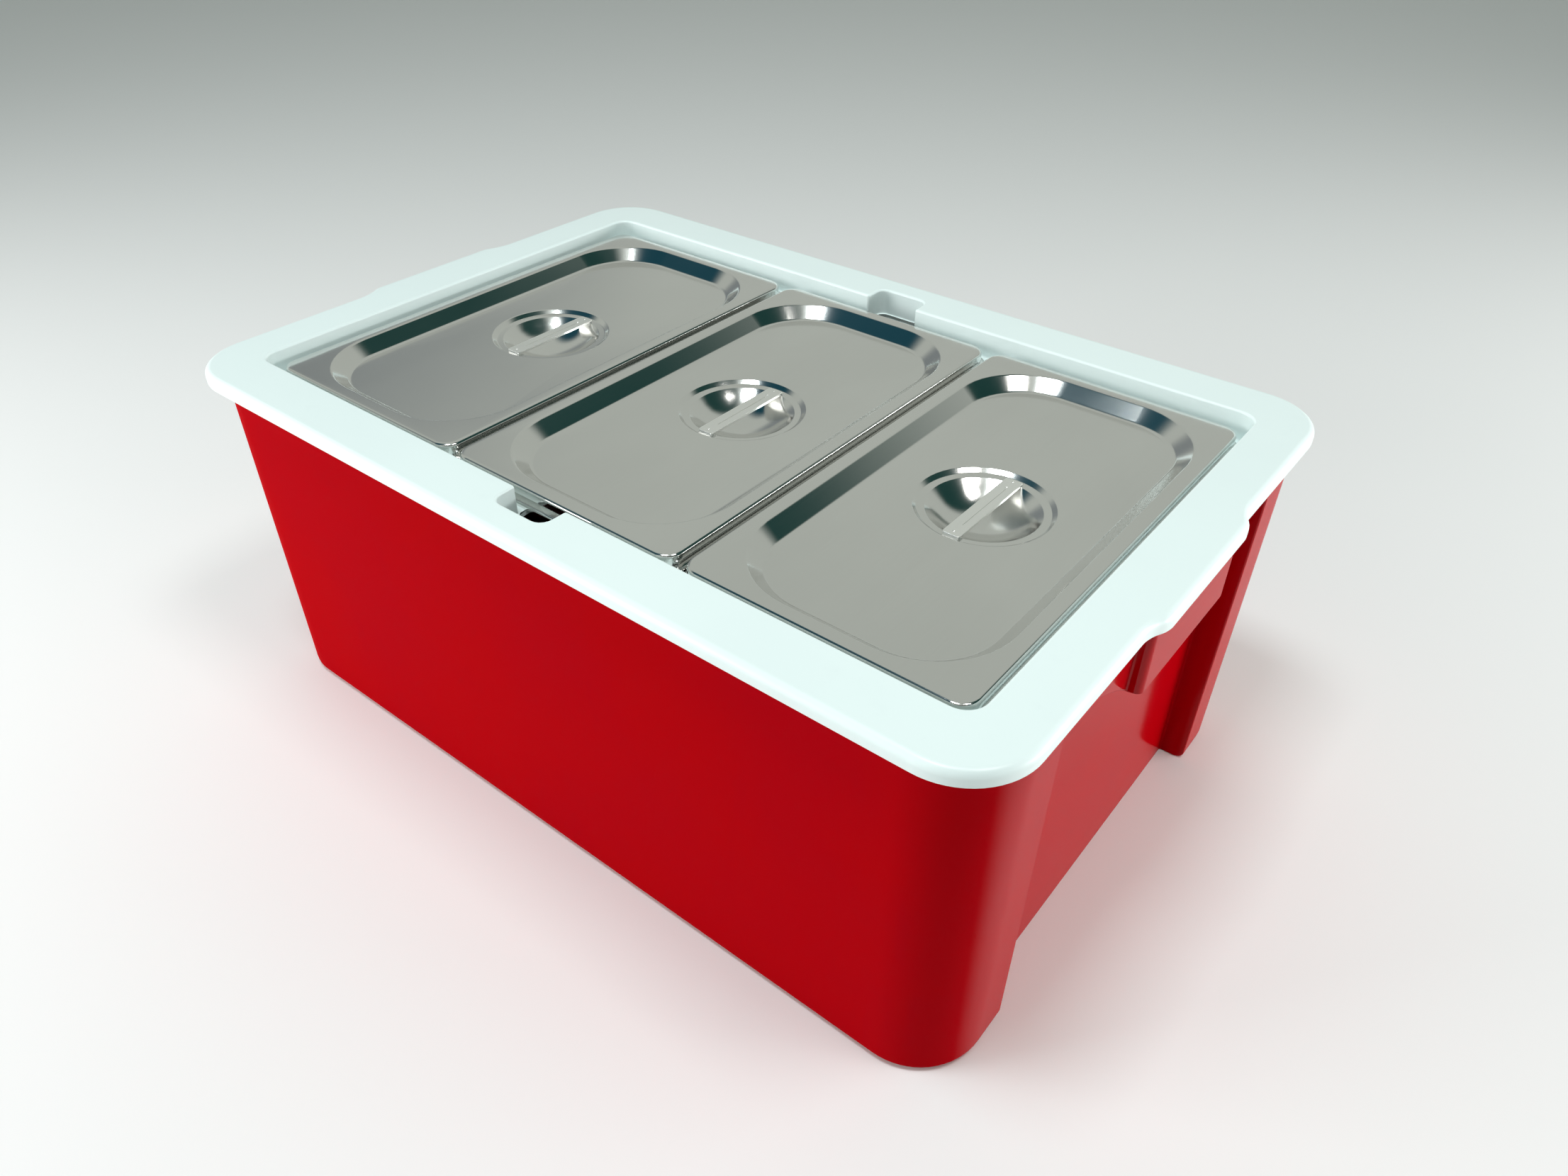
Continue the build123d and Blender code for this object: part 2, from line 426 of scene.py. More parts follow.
class Wire:
    """A shader socket that adds Math nodes as Python works on it."""

    def __init__(self, graph: "Graph", socket: bpy.types.NodeSocket) -> None:
        """Hold a socket and the graph that it is in."""
        self.graph = graph
        self.socket = socket

    def _maths(self, operation: str, first: object, second: object) -> "Wire":
        """Add a Math node for an operation on two values or sockets."""
        return self.graph.add("ShaderNodeMath", {"operation": operation}, {0: first, 1: second})

    def __add__(self, other: object) -> "Wire":
        """Add."""
        return self._maths("ADD", self, other)

    def __radd__(self, other: object) -> "Wire":
        """Add, from the right."""
        return self._maths("ADD", other, self)

    def __sub__(self, other: object) -> "Wire":
        """Subtract."""
        return self._maths("SUBTRACT", self, other)

    def __rsub__(self, other: object) -> "Wire":
        """Subtract, from the right."""
        return self._maths("SUBTRACT", other, self)

    def __mul__(self, other: object) -> "Wire":
        """Multiply."""
        return self._maths("MULTIPLY", self, other)

    def __rmul__(self, other: object) -> "Wire":
        """Multiply, from the right."""
        return self._maths("MULTIPLY", other, self)

    def size(self) -> "Wire":
        """Return the value without its sign."""
        return self._maths("ABSOLUTE", self, 0.0)


class Graph:
    """The nodes of one material or world, around its shader."""

    def __init__(self, name: str, tree: Optional[bpy.types.NodeTree] = None,
                 shader: str = "Principled BSDF") -> None:
        """Start a material with its shader and output, or take a tree that is there.

        Args:
            name: The new material's name.
            tree: A node tree to work in, in place of a new material's.
            shader: The name of the shader node in the tree.
        """
        self.material = None
        if tree is None:
            self.material = bpy.data.materials.new(name)
            self.material.use_nodes = True
            tree = self.material.node_tree
        self.tree = tree
        self.shader = self.tree.nodes[shader]

    def add(self, kind: str, settings: Optional[dict] = None, values: Optional[dict] = None,
            out: object = 0) -> Wire:
        """Add a node.

        Args:
            kind: The node's type.
            settings: The node's own properties, which are set first.
            values: Numbers, colours or sockets for its inputs, by name or number.
            out: The name or number of the output that is wanted.

        Returns:
            That output.
        """
        node = self.tree.nodes.new(kind)
        for name, value in (settings or {}).items():
            setattr(node, name, value)
        for name, value in (values or {}).items():
            self.put(node.inputs[name], value)
        return Wire(self, node.outputs[out])

    def put(self, socket: bpy.types.NodeSocket, value: object) -> None:
        """Link or set one input."""
        if isinstance(value, Wire):
            self.tree.links.new(value.socket, socket)
        else:
            socket.default_value = value

    def place(self) -> Wire:
        """Return the object coordinates."""
        return self.add("ShaderNodeTexCoord", out="Object")

    def stretched(self, scale: tuple[float, float, float]) -> Wire:
        """Return the object coordinates times a scale."""
        return self.add("ShaderNodeMapping", {}, {"Vector": self.place(), "Scale": scale})

    def noise(self, scale: float, detail: float = 2.0, vector: Optional[Wire] = None) -> Wire:
        """Return a noise that varies about one half."""
        values = {"Vector": vector or self.place(), "Scale": scale, "Detail": detail}
        return self.add("ShaderNodeTexNoise", {}, values, "Fac")

    def ramp(self, value: Wire, low: float, high: float) -> Wire:
        """Return a value carried from low..high to 0..1, smoothly, and held there."""
        return self.add("ShaderNodeMapRange", {"interpolation_type": "SMOOTHSTEP"},
                        {"Value": value, "From Min": low, "From Max": high})

    def away(self, axis: str) -> Wire:
        """Return how far a point is from the middle along X, Y or Z."""
        return self.add("ShaderNodeSeparateXYZ", {}, {0: self.place()}, axis).size()

    def mix(self, factor: object, first: object, second: object) -> Wire:
        """Return a blend of two colours."""
        return self.add("ShaderNodeMix", {"data_type": "RGBA"},
                        {0: factor, 6: first, 7: second}, 2)

    def bump(self, height: Wire, strength: float, distance: float,
             normal: Optional[Wire] = None) -> Wire:
        """Return a normal bent by a height map."""
        values = {"Height": height, "Strength": strength, "Distance": distance}
        if normal:
            values["Normal"] = normal
        return self.add("ShaderNodeBump", {}, values, "Normal")

    def dress(self, **inputs: object) -> bpy.types.Material:
        """Set the shader's inputs, with spaces written as underscores.

        Args:
            **inputs: Values or sockets by input name.

        Returns:
            The finished material.
        """
        for name, value in inputs.items():
            self.put(self.shader.inputs[name.replace("_", " ")], value)
        return self.material


@dataclass(frozen=True)
class MouldedPlastic:
    """Glossy moulded plastic with a soft ripple and fine scuffs.

    The coat weighs end_coat on the two ends and coat on the rest. An end is what lies
    beyond end_x, and what lies beyond recess_x within recess_y of the middle; each is a
    range in metres, over which one weight turns into the other.
    """

    name: str
    colour: tuple[float, float, float]
    worn_colour: tuple[float, float, float]
    roughness: float
    worn_roughness: float
    ripple: float
    specular: float
    coat: float
    end_coat: float
    end_x: tuple[float, float] = (0.286, 0.292)
    recess_x: tuple[float, float] = (0.266, 0.272)
    recess_y: tuple[float, float] = (0.122, 0.126)

    def material(self) -> bpy.types.Material:
        """Make the material."""
        graph = Graph(self.name)
        worn = self._wear(graph)
        colour = graph.mix(worn, (*self.colour, 1.0), (*self.worn_colour, 1.0))
        rough = self.roughness + (self.worn_roughness - self.roughness) * worn
        soft = graph.bump(graph.noise(16.0, detail=1.0), self.ripple, distance=0.0012)
        fine = graph.bump(graph.noise(900.0, detail=1.0), 0.05, distance=0.0001, normal=soft)
        return graph.dress(Base_Color=colour, Roughness=rough, Normal=fine, Coat_Normal=fine,
                           Specular_IOR_Level=self.specular, Coat_Weight=self._coat(graph),
                           Coat_Roughness=self.roughness)

    @staticmethod
    def _wear(graph: Graph) -> Wire:
        """Return how worn the surface is: in clouds, in upright scuffs and in specks."""
        cloud = graph.ramp(graph.noise(9.0, detail=3.0), 0.35, 0.75)
        upright = graph.stretched((1.0, 1.0, 0.16))
        scuff = graph.ramp(graph.noise(60.0, detail=4.0, vector=upright), 0.6, 0.8)
        speck = graph.ramp(graph.noise(420.0, detail=2.0), 0.62, 0.74)
        return cloud * 0.5 + scuff * 0.3 + speck * 0.12

    def _coat(self, graph: Graph) -> Wire:
        """Return the weight of the coat."""
        along = graph.away("X")
        outer = graph.ramp(along, *self.end_x)
        between = 1.0 - graph.ramp(graph.away("Y"), *self.recess_y)
        inner = graph.ramp(along, *self.recess_x) * between
        ends = outer + inner * (1.0 - outer)
        return self.coat + (self.end_coat - self.coat) * ends


@dataclass(frozen=True)
class PressedSteel:
    """Satin stainless sheet, with fine rolling marks along it and shallow dents."""

    name: str
    colour: tuple[float, float, float]
    roughness: float
    dents: float
    shade: float = 0.90
    grain_roughness: float = 0.03
    dull_roughness: float = 0.05

    def material(self) -> bpy.types.Material:
        """Make the material."""
        graph = Graph(self.name)
        along = graph.stretched((22.0, 0.5, 22.0))
        grain = graph.noise(60.0, detail=4.0, vector=along)
        smear = graph.noise(11.0, detail=3.0, vector=graph.stretched((1.0, 0.5, 1.0)))
        dull = graph.ramp(smear, 0.3, 0.75)
        dark = tuple(self.shade * part for part in self.colour)
        colour = graph.mix(grain * 0.3 + dull * 0.5, (*dark, 1.0), (*self.colour, 1.0))
        rough = (self.roughness + self.grain_roughness * (grain - 0.5)
                 + self.dull_roughness * (dull - 0.5))
        dent = graph.bump(graph.noise(13.0, detail=1.0), self.dents, distance=0.0008)
        fine = graph.bump(grain, 0.04, distance=0.00003, normal=dent)
        return graph.dress(Base_Color=colour, Roughness=rough, Normal=fine, Metallic=1.0)


@dataclass
class Tub:
    """The red tub: a drafted shell with a recess, a skirt and a grip in each end."""

    finish: bpy.types.Material
    foot: Outline = Outline(582.7, 385.5, 42.0, steps=16)
    height: float = 241.5
    draft: float = 0.0124
    wall: float = 3.0
    floor: float = 3.5
    recess_x: float = 275.0
    recess_half: float = 127.0
    brow_z: float = 222.0
    brow_flat: float = 114.0
    brow_power: float = 1.5
    brow_cuts: int = 14
    brow_corner: float = 7.0
    grip_half: float = 54.0
    grip_x: float = 301.5
    grip_root: float = 280.0
    grip_z: tuple[float, float] = (194.0, 235.4)
    grip_corner: float = 4.0
    skirt_x: float = 291.2
    hollow_z: tuple[float, float] = (150.0, 232.0)
    outside_x: float = 330.0
    below_z: float = -20.0
    rim_grow: float = 4.6
    edge: float = 1.1
    ribs: int = 11
    rib_pitch: float = 50.0
    rib_half: float = 1.1
    rib_y: tuple[float, float] = (193.5, 199.2)
    rib_z: tuple[float, float] = (229.5, 239.0)
    rib_taper: float = 3.2

    def build(self) -> bpy.types.Object:
        """Model the tub and put it in the frame."""
        ob = self._body()
        for end in (-1, 1):
            Bench.carve(ob, self._grip(end), "UNION")
            Bench.carve(ob, self._recess(end), "DIFFERENCE")
        Bench.carve(ob, self._cavity(), "DIFFERENCE")
        for end in (-1, 1):
            for tool in self._hollows(end):
                Bench.carve(ob, tool, "DIFFERENCE")
        self._soften(ob)
        ribs = [self._rib(side, number) for side in (-1, 1) for number in range(self.ribs)]
        Bench.join(ob, ribs)
        Bench.finish(ob, "tub_moulding", 40.0)
        ob.data.materials.clear()
        ob.data.materials.append(self.finish)
        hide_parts("tub")
        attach(ob, "tub")
        return ob

    def _out(self, z: float) -> float:
        """Return how far the wall has leant out at a height."""
        return z * self.draft

    def _body(self) -> bpy.types.Object:
        """Return the solid outside of the tub, with its rim flange."""
        skin = Skin("tub_body")
        skin.ring(self.foot.grown(-6.0), 0.0)
        skin.arc(self.foot, (-6.0, 0.0), (self._out(6.0), 6.0), 1, 5)
        skin.ring(self.foot.grown(self._out(120.0)), 120.0)
        under = self.height - 3.0
        skin.ring(self.foot.grown(self._out(under)), under)
        skin.ring(self.foot.grown(self.rim_grow + 0.2), under)
        skin.ring(self.foot.grown(self.rim_grow + 0.5), under + 0.5)
        skin.ring(self.foot.grown(self.rim_grow + 0.5), self.height - 0.6)
        skin.ring(self.foot.grown(self.rim_grow), self.height)
        return skin.build(Ends.CAPPED)

    def _cavity(self) -> bpy.types.Object:
        """Return the inside of the tub, stepped in behind each recess."""
        inner = replace(
            self.foot.grown(-self.wall),
            bay=Bay(Sides.ENDS, self.recess_half + 3.0, self.recess_half + 3.4,
                    self.recess_x - self.wall - (self.foot.length / 2 - self.wall), 4.0, 3.0),
        )
        skin = Skin("tub_cavity")
        skin.ring(inner.grown(-5.0), self.floor)
        skin.arc(inner, (-5.0, self.floor), (0.0, self.floor + 5.0), 1, 4)
        skin.ring(inner, self.height + 5.0)
        return skin.build(Ends.CAPPED)

    def _grip(self, end: int) -> bpy.types.Object:
        """Return the box that stands out over the middle of one end."""
        near, far = sorted((end * self.grip_root, end * self.grip_x))
        ob = Bench.block((near, -self.grip_half, self.grip_z[0]),
                         (far, self.grip_half, self.grip_z[1]), "grip")
        bpy.ops.object.mode_set(mode="EDIT")
        Bench.pick_edges(lambda a, b: abs(a.x - b.x) < NEAR and abs(a.y - b.y) < NEAR
                         and end * a.x > self.grip_root + 1.0)
        bpy.ops.mesh.bevel(offset=self.grip_corner * MM, segments=5, profile=0.5,
                           affect="EDGES")
        bpy.ops.object.mode_set(mode="OBJECT")
        return ob

    def _brow(self, across: float) -> float:
        """Return the height of the skirt's lower edge at a place across the tub."""
        low = self.grip_z[0]
        share = (self.brow_flat - abs(across)) / (self.brow_flat - self.grip_half)
        if share <= 0.0:
            return self.brow_z
        if share >= 1.0:
            return low
        return self.brow_z - (self.brow_z - low) * share ** self.brow_power

    def _recess(self, end: int) -> bpy.types.Object:
        """Return what is cut from one end, below the skirt and between the posts."""
        near, far = sorted((end * self.recess_x, end * self.outside_x))
        ob = Bench.block((near, -self.recess_half, self.below_z),
                         (far, self.recess_half, self.brow_z), "recess")
        bpy.ops.object.mode_set(mode="EDIT")
        run, count = self.brow_flat - self.grip_half, self.brow_cuts
        half_cuts = [self.grip_half + run * number / count for number in range(count + 1)]
        cuts = sorted(half_cuts + [-cut for cut in half_cuts])
        for at in cuts:
            bpy.ops.mesh.select_all(action="SELECT")
            bpy.ops.mesh.bisect(plane_co=(0.0, at * MM, 0.0), plane_no=(0.0, 1.0, 0.0))
        for at in cuts:
            Bench.pick(lambda p: abs(p.y - at) < 0.05 and abs(p.z - self.brow_z) < 0.05)
            drop = self._brow(at) - self.brow_z
            bpy.ops.transform.translate(value=(0.0, 0.0, drop * MM))
        Bench.pick_edges(lambda a, b: abs(abs(a.y) - self.recess_half) < 0.05
                         and abs(a.y - b.y) < 0.05 and a.z > self.brow_z - 1.0
                         and b.z > self.brow_z - 1.0)
        bpy.ops.mesh.bevel(offset=self.brow_corner * MM, segments=6, profile=0.5,
                           affect="EDGES")
        bpy.ops.object.mode_set(mode="OBJECT")
        return ob

    def _hollows(self, end: int) -> list[bpy.types.Object]:
        """Return the room for fingers behind the skirt and inside the grip."""
        low, high = self.hollow_z
        tools = []
        for reach, half in ((self.skirt_x, self.recess_half - 2 * NEAR),
                            (self.grip_x - self.wall, self.grip_half - self.wall)):
            near, far = sorted((end * (self.recess_x + NEAR), end * reach))
            tools.append(Bench.block((near, -half, low), (far, half, high), "hollow"))
        return tools

    def _soften(self, ob: bpy.types.Object) -> None:
        """Round the edges that the cuts left, as a mould's edges are."""
        Bench.take(ob)
        bpy.ops.object.mode_set(mode="EDIT")
        bpy.ops.mesh.select_all(action="SELECT")
        bpy.ops.mesh.remove_doubles(threshold=2e-5)
        bpy.ops.mesh.select_all(action="SELECT")
        bpy.ops.mesh.dissolve_limited(angle_limit=math.radians(0.4))
        bpy.ops.object.mode_set(mode="OBJECT")
        Bench.modify(ob, "BEVEL", width=self.edge * MM, segments=3, limit_method="ANGLE",
                     angle_limit=math.radians(42.0), use_clamp_overlap=False,
                     miter_outer="MITER_ARC", harden_normals=False)

    def _rib(self, side: int, number: int) -> bpy.types.Object:
        """Return one stiffening rib under the rim on a long wall."""
        along = (number - self.ribs // 2) * self.rib_pitch
        near, far = sorted((side * self.rib_y[0], side * self.rib_y[1]))
        low, high = self.rib_z
        ob = Bench.block((along - self.rib_half, near, low), (along + self.rib_half, far, high),
                         "rib")
        bpy.ops.object.mode_set(mode="EDIT")
        Bench.pick(lambda p: side * p.y > self.rib_y[1] - 1.0 and p.z < low + 1.0)
        bpy.ops.transform.translate(value=(0.0, -side * self.rib_taper * MM, 0.0))
        bpy.ops.mesh.select_all(action="SELECT")
        bpy.ops.mesh.bevel(offset=0.4 * MM, segments=2, affect="EDGES")
        bpy.ops.object.mode_set(mode="OBJECT")
        return ob


@dataclass
class PanFrame:
    """The white frame: a plate with a skirt, tabs, a well, a ledge and finger notches."""

    finish: bpy.types.Material
    outer: Outline = Outline(600.8, 408.0, 40.0,
                             Bay(Sides.ENDS, 51.0, 61.0, 5.6, 5.0, 6.0), steps=16)
    window: Outline = Outline(535.9, 334.6, 12.0,
                              Bay(Sides.FLANKS, 19.5, 19.9, 17.0, 7.0, 1.6), steps=8)
    ledge: Outline = Outline(519.0, 315.0, 8.0,
                             Bay(Sides.FLANKS, 19.5, 19.9, 26.8, 7.0, 1.6), steps=8)
    top_z: float = 245.0
    lip_z: float = 235.8
    plate: float = 3.5
    edge_round: float = 4.4
    well_wall: float = 3.0
    ledge_z: float = 226.5
    ledge_plate: float = 3.4

    def build(self) -> bpy.types.Object:
        """Model the frame and put it in the frame of the model."""
        outer, window, ledge = self.outer, self.window, self.ledge
        under = self.top_z - self.plate
        low = self.ledge_z - self.ledge_plate
        skin = Skin("frame_skin")
        skin.ring(outer.grown(-self.plate), under)
        skin.ring(outer.grown(-self.plate), self.lip_z + 0.4)
        skin.ring(outer.grown(-self.plate + 0.4), self.lip_z)
        skin.ring(outer.grown(-0.9), self.lip_z)
        skin.arc(outer, (-0.9, self.lip_z), (0.0, self.lip_z + 0.9), 1, 3)
        skin.ring(outer, self.top_z - self.edge_round)
        skin.arc(outer, (0.0, self.top_z - self.edge_round), (-self.edge_round, self.top_z),
                 0, 6)
        skin.ring(window.grown(1.6), self.top_z, Join.FILL)
        skin.arc(window, (1.6, self.top_z), (0.0, self.top_z - 1.6), 1, 4)
        skin.ring(window, self.ledge_z + 1.0)
        skin.arc(window, (0.0, self.ledge_z + 1.0), (-1.0, self.ledge_z), 0, 3)
        skin.ring(ledge.grown(0.5), self.ledge_z)
        skin.ring(ledge, self.ledge_z - 0.5)
        skin.ring(ledge, low + 0.5)
        skin.ring(ledge.grown(0.5), low)
        skin.ring(window.grown(self.well_wall - 0.5), low)
        skin.ring(window.grown(self.well_wall), low + 0.5)
        skin.ring(window.grown(self.well_wall), under)
        skin.fills.add(0)
        ob = skin.build(Ends.CLOSED)
        Bench.finish(ob, "pan_frame_moulding", 38.0)
        ob.data.materials.append(self.finish)
        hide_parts("pan_frame")
        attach(ob, "frame")
        return ob


@dataclass
class PanSet:
    """One food pan with its lid and the strap handle on the lid."""

    side: str
    place: float
    steel: bpy.types.Material
    strap_steel: bpy.types.Material
    sheet: float = 0.8
    pan_top: float = 229.6
    pan_depth: float = 100.0
    pan_lean: float = 5.3
    floor_round: float = 12.0
    lid_top: float = 237.6
    panel_z: float = 229.1
    dish_z: float = 226.6
    bowl_z: float = 212.0
    bowl_radius: float = 32.5
    bowl_rings: int = 8
    strap_half: tuple[float, float] = (5.5, 35.5)
    strap_plate: float = 1.5
    line_x: tuple[float, float] = (0.5, 0.95)
    line_y: tuple[float, float] = (-24.0, 23.0)
    line_depth: float = 0.3
    welds_y: tuple[float, ...] = (32.4, 25.4, -32.0)
    weld_radius: float = 0.75

    def build(self) -> None:
        """Model the three pieces and put them in the frame."""
        self._seat(self._pan(), "pan", f"{self.side}_pan", self.steel)
        self._seat(self._lid(), "lid", f"{self.side}_lid", self.steel)
        self._seat(self._strap(), "strap", f"{self.side}_lid", self.strap_steel)

    def _seat(self, ob: bpy.types.Object, node: str, body: str,
              finish: bpy.types.Material) -> None:
        """Dress a piece and let it stand for its node."""
        ob.data.materials.clear()
        ob.data.materials.append(finish)
        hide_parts(f"{node}_{self.side}")
        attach(ob, body)
        LOG.info("%s rides on %s", ob.name, body)

    def _thicken(self, ob: bpy.types.Object, name: str) -> bpy.types.Object:
        """Point an open skin's faces up, give it the sheet's thickness and finish it."""
        Bench.take(ob)
        lift = sum(face.normal.z * face.area for face in ob.data.polygons)
        if lift < 0:
            bpy.ops.object.mode_set(mode="EDIT")
            bpy.ops.mesh.select_all(action="SELECT")
            bpy.ops.mesh.flip_normals()
            bpy.ops.object.mode_set(mode="OBJECT")
        Bench.modify(ob, "SOLIDIFY", thickness=self.sheet * MM, offset=-1.0,
                     use_even_offset=False, use_quality_normals=True)
        return Bench.finish(ob, name, 40.0)

    def _pan(self) -> bpy.types.Object:
        """Return the pan: its flange, its mouth, its drafted walls and its floor."""
        rim = Outline(176.0, 325.0, 14.0, place=self.place)
        mouth = Outline(151.0, 300.0, 30.0, place=self.place)
        floor_z = self.pan_top - self.pan_depth + self.sheet
        lean, floor_round = self.pan_lean, self.floor_round
        skin = Skin("pan_skin")
        skin.ring(rim, self.pan_top - 3.0)
        skin.ring(rim, self.pan_top - 1.6)
        skin.arc(rim, (0.0, self.pan_top - 1.6), (-1.6, self.pan_top), 0, 4)
        skin.ring(mouth.grown(2.5), self.pan_top)
        skin.arc(mouth, (2.5, self.pan_top), (0.0, self.pan_top - 2.5), 1, 4)
        skin.ring(mouth.grown(-lean), floor_z + floor_round)
        skin.arc(mouth, (-lean, floor_z + floor_round), (-lean - floor_round, floor_z), 0, 6)
        ob = skin.build(Ends.OPEN_START)
        return self._thicken(ob, f"pan_{self.side}_sheet")

    def _lid(self) -> bpy.types.Object:
        """Return the lid: its skirt, border, slope, sunken panel and round dish."""
        edge = Outline(170.5, 318.4, 11.0, place=self.place)
        brink = Outline(150.5, 298.4, 50.0, place=self.place)
        foot = Outline(132.5, 280.4, 41.0, place=self.place)
        top, panel, dish = self.lid_top, self.panel_z, self.dish_z
        skin = Skin("lid_skin")
        skin.ring(edge, top - 8.0)
        skin.ring(edge, top - 2.2)
        skin.arc(edge, (0.0, top - 2.2), (-2.2, top), 0, 5)
        skin.ring(edge.grown(-3.2), top)
        skin.ring(brink.grown(1.6), top)
        skin.ring(brink.grown(0.7), top - 0.16)
        skin.ring(brink.grown(-0.3), top - 0.75)
        skin.ring(foot.grown(0.9), panel + 1.0)
        skin.ring(foot.grown(-0.3), panel + 0.3)
        skin.ring(foot.grown(-1.6), panel)
        for radius, z in ((41.2, panel), (40.3, panel - 0.25), (38.2, dish + 0.3),
                          (37.3, dish), (33.9, dish), (33.1, dish - 0.25)):
            skin.ring(Disc(radius, self.place), z)
        deep = dish - self.bowl_z
        ball = (self.bowl_radius ** 2 + deep ** 2) / (2 * deep)
        for number in range(1, self.bowl_rings + 1):
            radius = self.bowl_radius * (1.0 - number / (self.bowl_rings + 0.4))
            drop = math.sqrt(ball ** 2 - radius ** 2) - (ball - deep)
            skin.ring(Disc(radius, self.place), dish - drop)
        ob = skin.build(Ends.OPEN_START)
        return self._thicken(ob, f"lid_{self.side}_sheet")

    def _strap(self) -> bpy.types.Object:
        """Return the strap handle, with a pressed line along it and its spot welds."""
        top = self.dish_z + self.strap_plate
        half_x, half_y = self.strap_half
        ob = Bench.block((self.place - half_x, -half_y, self.dish_z),
                         (self.place + half_x, half_y, top), "strap")
        bpy.ops.object.mode_set(mode="EDIT")
        Bench.pick_edges(lambda a, b: abs(a.z - b.z) > 1.0)
        bpy.ops.mesh.bevel(offset=1.4 * MM, segments=4, affect="EDGES")
        Bench.pick_edges(lambda a, b: a.z > top - 0.1 and b.z > top - 0.1)
        bpy.ops.mesh.bevel(offset=0.3 * MM, segments=2, affect="EDGES")
        bpy.ops.object.mode_set(mode="OBJECT")
        line = Bench.block((self.place + self.line_x[0], self.line_y[0], top - self.line_depth),
                           (self.place + self.line_x[1], self.line_y[1], top + 1.0), "line")
        Bench.carve(ob, line, "DIFFERENCE")
        for along in self.welds_y:
            Bench.clear()
            spot = (self.place * MM, along * MM, (top + self.weld_radius / 3) * MM)
            bpy.ops.mesh.primitive_uv_sphere_add(segments=20, ring_count=10, location=spot,
                                                 radius=self.weld_radius * MM)
            Bench.carve(ob, bpy.context.object, "DIFFERENCE")
        return Bench.finish(ob, f"strap_{self.side}_handle", 30.0)


@dataclass(frozen=True)
class Patch:
    """A soft-edged round patch of the surroundings.

    It lies in the direction aim and has the colour shade. The cosine of the angle from
    aim is wide where the patch begins to show and narrow where it shows in full.
    """

    aim: tuple[float, float, float]
    wide: float
    narrow: float
    shade: tuple[float, float, float]


@dataclass(frozen=True)
class Lamp:
    """A rectangular soft light at a place, turned to a target; metres and watts."""

    name: str
    place: tuple[float, float, float]
    target: tuple[float, float, float]
    size: tuple[float, float]
    power: float
    tint: tuple[float, float, float] = (1.0, 1.0, 1.0)

    def hang(self) -> None:
        """Add the light to the scene."""
        data = bpy.data.lights.new(self.name, "AREA")
        data.shape = "RECTANGLE"
        data.size, data.size_y = self.size
        data.energy = self.power
        data.color = self.tint
        light = bpy.data.objects.new(self.name, data)
        light.location = self.place
        aim = Vector(self.target) - Vector(self.place)
        light.rotation_euler = aim.to_track_quat("-Z", "Y").to_euler()
        bpy.context.scene.collection.objects.link(light)


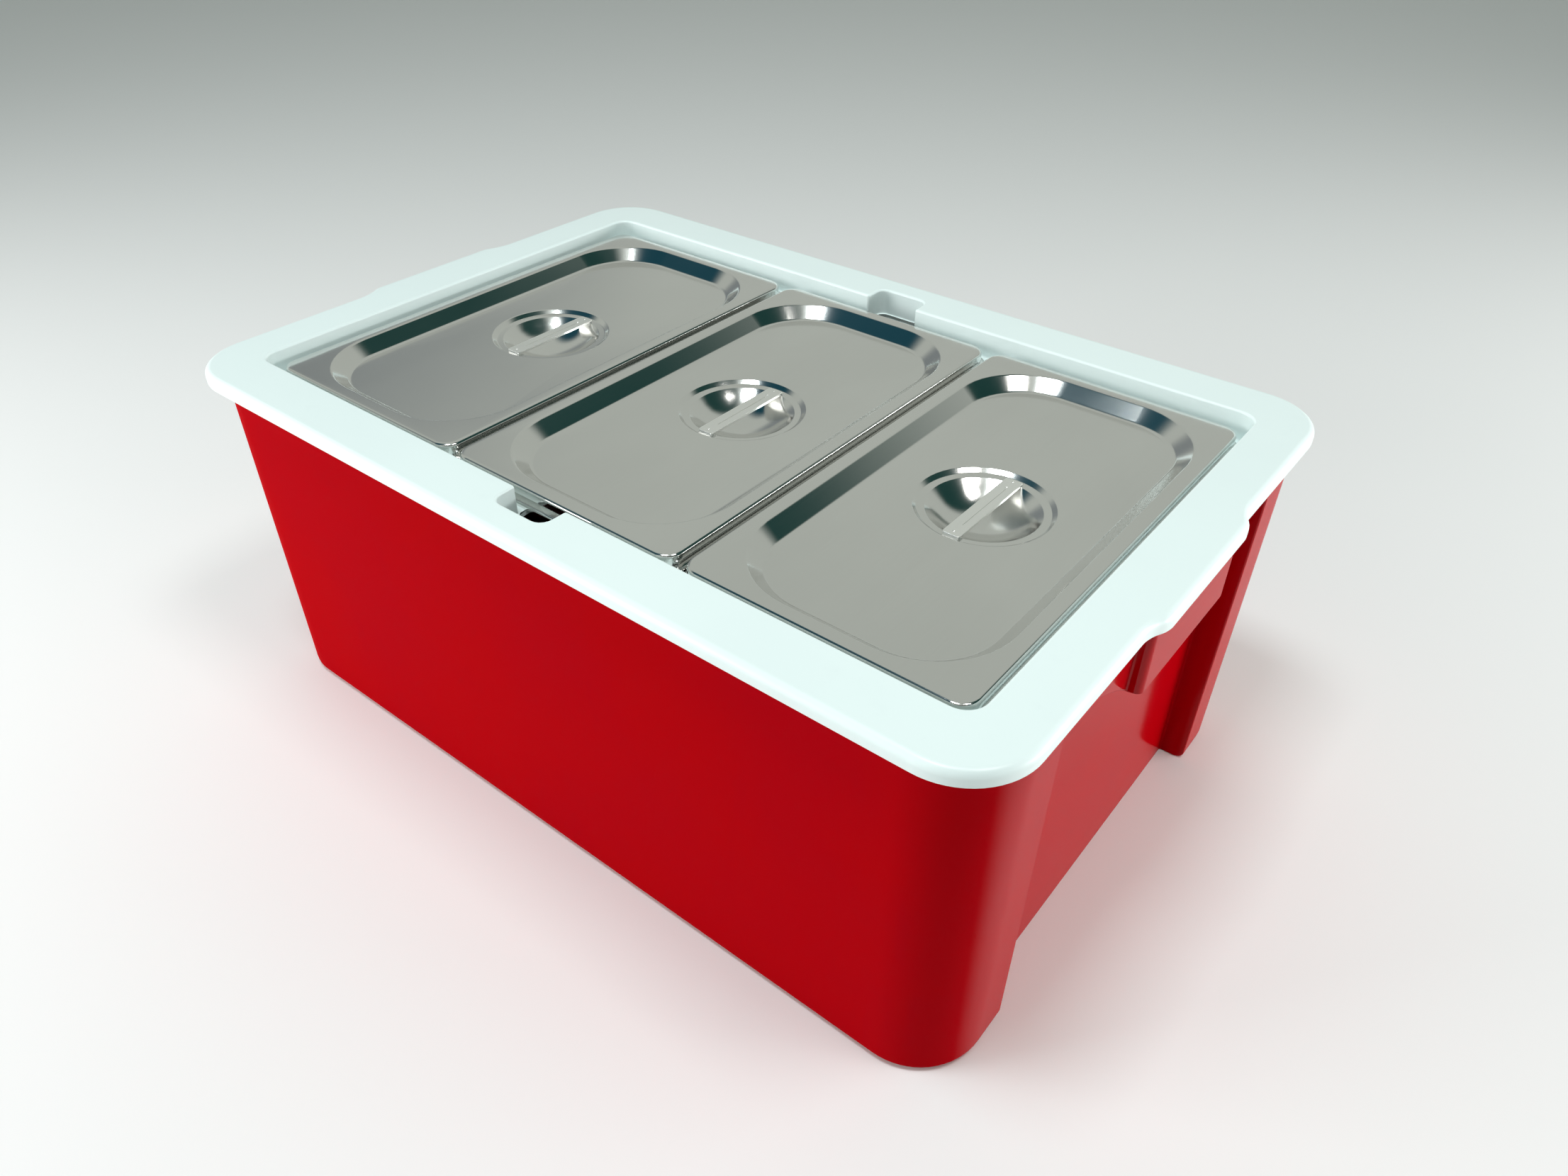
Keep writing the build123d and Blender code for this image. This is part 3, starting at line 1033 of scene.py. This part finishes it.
@dataclass
class Studio:
    """The floor, the surroundings, the lights and the camera."""

    eye: tuple[float, float, float] = (0.41987, -0.49334, 0.57713)
    turn: float = 37.906
    dip: float = 37.163
    roll: float = 0.71
    lens: float = 26.28
    sensor: float = 36.0
    floor_size: float = 12.0
    air: tuple[float, float, float] = (0.50, 0.53, 0.49)
    patches: tuple[Patch, ...] = (
        Patch((0.60, 0.25, 0.76), 0.76, 0.89, (0.012, 0.050, 0.045)),
        Patch((-0.45, -0.30, 0.84), 0.86, 0.975, (0.010, 0.060, 0.085)),
        Patch((0.48, -0.75, 0.30), 0.72, 0.92, (0.150, 0.165, 0.160)),
        Patch((-0.88, 0.42, 0.25), 0.93, 1.00, (0.230, 0.255, 0.260)),
    )
    lamps: tuple[Lamp, ...] = (
        Lamp("lamp_warm", (0.84, -0.02, 2.0), (0.12, 0.13, 0.23), (0.45, 0.45), 10.0,
             (1.0, 0.98, 0.95)),
        Lamp("lamp_cool", (0.02, -0.485, 2.0), (0.02, 0.0, 0.2), (0.54, 0.36), 13.5,
             (0.90, 0.98, 1.0)),
        Lamp("left_softbox", (-1.1, -1.3, 0.5), (-0.3, 0.0, 0.15), (0.9, 0.8), 19.0),
        Lamp("right_softbox", (1.7, 1.1, 0.28), (0.2, 0.0, 0.12), (1.3, 0.45), 27.0),
    )

    def build(self) -> None:
        """Set up everything round the object."""
        bpy.context.scene.view_settings.view_transform = "Standard"
        self._camera()
        self._floor()
        self._world()
        for lamp in self.lamps:
            lamp.hang()

    def _camera(self) -> None:
        """Place the camera and make it the scene's."""
        data = bpy.data.cameras.new("camera")
        data.lens = self.lens
        data.sensor_width = self.sensor
        data.clip_start = 0.01
        camera = bpy.data.objects.new("camera", data)
        bpy.context.scene.collection.objects.link(camera)
        turn, dip, roll = (math.radians(a) for a in (self.turn, self.dip, self.roll))
        ahead = Vector((-math.sin(turn) * math.cos(dip), math.cos(turn) * math.cos(dip),
                        -math.sin(dip)))
        right = Vector((math.cos(turn), math.sin(turn), 0.0))
        up = right.cross(ahead)
        level = math.cos(roll) * right + math.sin(roll) * up
        upright = math.cos(roll) * up - math.sin(roll) * right
        facing = Matrix((level, upright, -ahead)).transposed().to_4x4()
        camera.matrix_world = Matrix.Translation(self.eye) @ facing
        bpy.context.scene.camera = camera

    def _floor(self) -> None:
        """Lay a plain pale floor."""
        Bench.clear()
        bpy.ops.mesh.primitive_plane_add(size=self.floor_size, location=(0.0, 0.0, 0.0))
        floor = bpy.context.object
        floor.name = "floor"
        graph = Graph("pale_floor")
        floor.data.materials.append(graph.dress(Base_Color=(0.9, 0.9, 0.9, 1.0), Roughness=0.6))

    def _world(self) -> None:
        """Fill the surroundings with soft light and with darker patches to mirror."""
        world = bpy.data.worlds.new("surroundings")
        world.use_nodes = True
        graph = Graph("surroundings", world.node_tree, "Background")
        way = graph.add("ShaderNodeTexCoord", out="Generated")
        colour = (*self.air, 1.0)
        for patch in self.patches:
            near = graph.add("ShaderNodeVectorMath", {"operation": "DOT_PRODUCT"},
                             {0: way, 1: Vector(patch.aim).normalized()}, "Value")
            share = graph.ramp(near, patch.wide, patch.narrow)
            colour = graph.mix(share, colour, (*patch.shade, 1.0))
        graph.dress(Color=colour, Strength=1.0)
        bpy.context.scene.world = world


def main() -> None:
    """Build the pieces in order and report each one."""
    logging.basicConfig(level=logging.INFO, format="%(name)s: %(message)s")
    red = MouldedPlastic(
        "red_moulding", colour=(0.41, 0.0003, 0.003), worn_colour=(0.375, 0.0005, 0.006),
        roughness=0.10, worn_roughness=0.20, ripple=0.10, specular=0.0, coat=0.03,
        end_coat=0.45,
    ).material()
    white = MouldedPlastic(
        "white_moulding", colour=(0.82, 0.93, 0.92), worn_colour=(0.78, 0.885, 0.88),
        roughness=0.30, worn_roughness=0.42, ripple=0.12, specular=0.5, coat=0.0,
        end_coat=0.0,
    ).material()
    steel = PressedSteel("satin_sheet", (0.78, 0.78, 0.76), roughness=0.13, dents=0.07).material()
    strap = PressedSteel("strap_sheet", (0.92, 0.92, 0.89), roughness=0.42, dents=0.03).material()
    Studio().build()
    LOG.info("tub: %s", Tub(red).build().name)
    LOG.info("frame: %s", PanFrame(white).build().name)
    for side, place in (("left", -PAN_PITCH), ("middle", 0.0), ("right", PAN_PITCH)):
        PanSet(side, place, steel, strap).build()


if __name__ == "__main__":
    main()
